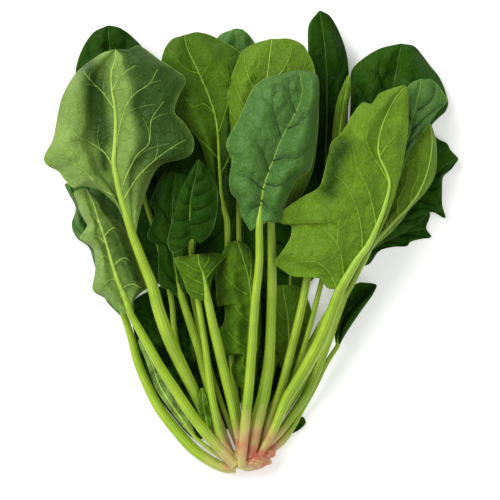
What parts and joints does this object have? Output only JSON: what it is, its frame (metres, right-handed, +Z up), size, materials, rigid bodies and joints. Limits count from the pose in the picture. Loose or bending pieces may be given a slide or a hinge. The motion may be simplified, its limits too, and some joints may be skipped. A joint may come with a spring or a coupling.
{
  "type": "spinach bunch",
  "caption": "Bunch of fresh spinach lying on its back leaves: waved green blades on long pale stalks that join in one pink root crown",
  "frame": {"origin": "middle of the bunch's bounding box, on the surface that it lies on", "axes": "+Y from the root crown to the leaf tips, +X to the right as seen from above, +Z up from the surface"},
  "size_m": [0.2678, 0.3014, 0.0587],
  "materials": {
    "leaf_upper": "satin",
    "leaf_underside": "matte",
    "leaf_lime": "satin",
    "stalk": "satin",
    "crown": "matte"
  },
  "bodies": {
    "root": {"left_front_blade": "leaf_underside", "left_front_stalk": "stalk", "left_low_blade": "leaf_underside", "left_low_stalk": "stalk", "left_outer_blade": "leaf_upper", "left_outer_stalk": "stalk", "left_back_blade": "leaf_upper", "left_back_stalk": "stalk", "centre_left_blade": "leaf_underside", "centre_left_stalk": "stalk", "rear_small_blade": "leaf_upper", "rear_small_stalk": "stalk", "centre_lime_blade": "leaf_lime", "centre_lime_stalk": "stalk", "centre_front_blade": "leaf_upper", "centre_front_stalk": "stalk", "right_front_blade": "leaf_underside", "right_front_stalk": "stalk", "right_second_blade": "leaf_underside", "right_second_stalk": "stalk", "right_flap_blade": "leaf_upper", "right_flap_stalk": "stalk", "tall_back_blade": "leaf_upper", "tall_back_stalk": "stalk", "lime_sliver_blade": "leaf_lime", "lime_sliver_stalk": "stalk", "right_back_blade": "leaf_upper", "right_back_stalk": "stalk", "right_rear_blade": "leaf_upper", "right_rear_stalk": "stalk", "right_low_blade": "leaf_upper", "right_low_stalk": "stalk", "right_small_blade": "leaf_upper", "right_small_stalk": "stalk", "small_front_blade": "leaf_upper", "small_front_stalk": "stalk", "small_lime_blade": "leaf_lime", "small_lime_stalk": "stalk", "left_folded_blade": "leaf_upper", "left_folded_stalk": "stalk", "lower_centre_blade": "leaf_underside", "lower_centre_stalk": "stalk", "lower_right_blade": "leaf_underside", "lower_right_stalk": "stalk", "low_left_dark_blade": "leaf_upper", "low_left_dark_stalk": "stalk", "low_left_edge_blade": "leaf_underside", "low_left_edge_stalk": "stalk", "low_curl_blade": "leaf_upper", "low_curl_stalk": "stalk", "back_left_blade": "leaf_upper", "back_left_stalk": "stalk", "back_right_blade": "leaf_upper", "back_right_stalk": "stalk", "inner_right_blade": "leaf_upper", "inner_right_stalk": "stalk", "sprout_blade": "leaf_upper", "sprout_stalk": "stalk", "crown": "crown"}
  },
  "joints": []
}
